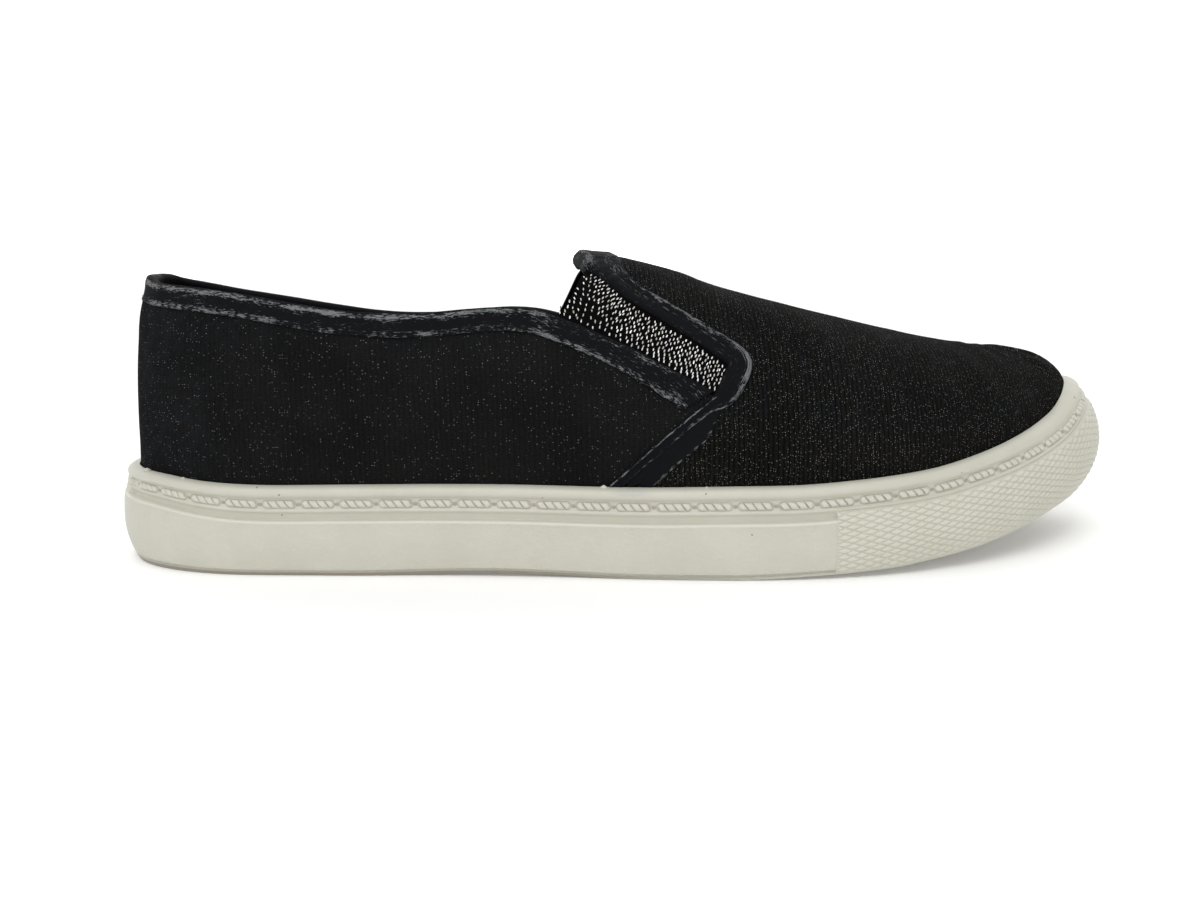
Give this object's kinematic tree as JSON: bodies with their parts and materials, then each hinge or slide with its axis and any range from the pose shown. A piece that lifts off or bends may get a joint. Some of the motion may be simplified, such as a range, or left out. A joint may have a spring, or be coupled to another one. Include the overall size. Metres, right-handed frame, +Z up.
{
  "type": "slip-on sneaker",
  "caption": "Low slip-on sneaker, right foot: hollow fabric upper with bound collar and throat, elastic side inserts, insole and a moulded cup sole with a stitched edge.",
  "frame": {"origin": "centre of the box round the shoe, at the floor it stands on", "axes": "+X towards the toe, +Y to the inner side of the foot, +Z up"},
  "size_m": [0.2683, 0.095, 0.0791],
  "materials": {
    "sole_rubber": "satin",
    "upper_fabric": "ribbed knit",
    "insole_fabric": "matt",
    "binding_suede": "brushed nap",
    "gore_elastic": "woven"
  },
  "bodies": {
    "root": {"sole": "sole_rubber", "upper": "upper_fabric", "insole": "insole_fabric", "collar_binding": "binding_suede", "vamp_binding": "binding_suede", "vamp_tape_outer": "binding_suede", "vamp_tape_inner": "binding_suede", "gore_outer": "gore_elastic", "gore_inner": "gore_elastic"}
  },
  "joints": []
}
